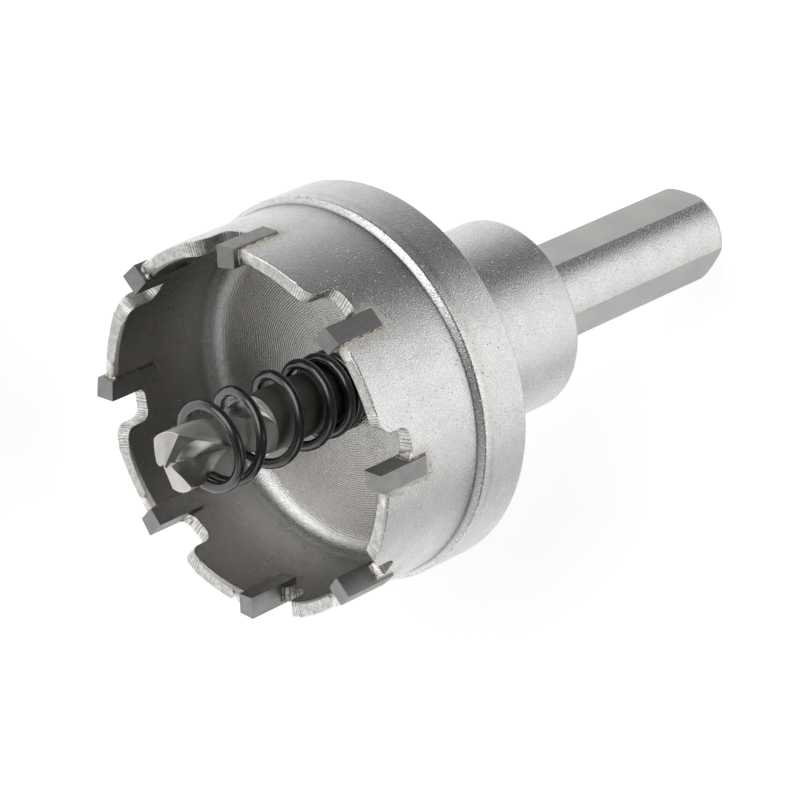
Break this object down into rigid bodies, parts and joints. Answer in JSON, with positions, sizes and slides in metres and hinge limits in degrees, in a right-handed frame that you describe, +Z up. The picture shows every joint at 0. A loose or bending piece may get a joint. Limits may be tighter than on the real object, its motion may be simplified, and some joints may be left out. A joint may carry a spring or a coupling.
{
  "type": "hole saw",
  "caption": "Carbide-tipped hole saw: a steel cup with brazed teeth and gullets, a stop flange, a hub and a flatted shank, with a fluted pilot drill and a coil ejector spring on its axis.",
  "frame": {"origin": "middle of the footprint's box, on the surface that the saw lies on", "axes": "+X along the length towards the shank, +Z up, +Y to the side; the tool's own axis drops towards the shank by 17.6 degrees"},
  "size_m": [0.0742, 0.0388, 0.0419],
  "materials": {
    "nickelled_steel": "turned steel, blasted and nickel plated to a fine satin",
    "carbide": "ground sintered carbide, dull grey",
    "braze": "silver braze, slightly tarnished",
    "tool_steel": "ground flutes and point, darker plain shank",
    "black_spring_steel": "blackened spring wire, glossy",
    "blackened_screw": "blackened screw, satin"
  },
  "bodies": {
    "root": {"saw_body": "nickelled_steel", "carbide_tip_1": "carbide", "carbide_tip_2": "carbide", "carbide_tip_3": "carbide", "carbide_tip_4": "carbide", "carbide_tip_5": "carbide", "carbide_tip_6": "carbide", "carbide_tip_7": "carbide", "carbide_tip_8": "carbide", "braze_seam_1": "braze", "braze_seam_2": "braze", "braze_seam_3": "braze", "braze_seam_4": "braze", "braze_seam_5": "braze", "braze_seam_6": "braze", "braze_seam_7": "braze", "braze_seam_8": "braze", "pilot_drill": "tool_steel", "ejector_spring": "black_spring_steel", "grub_screw": "blackened_screw"}
  },
  "joints": []
}
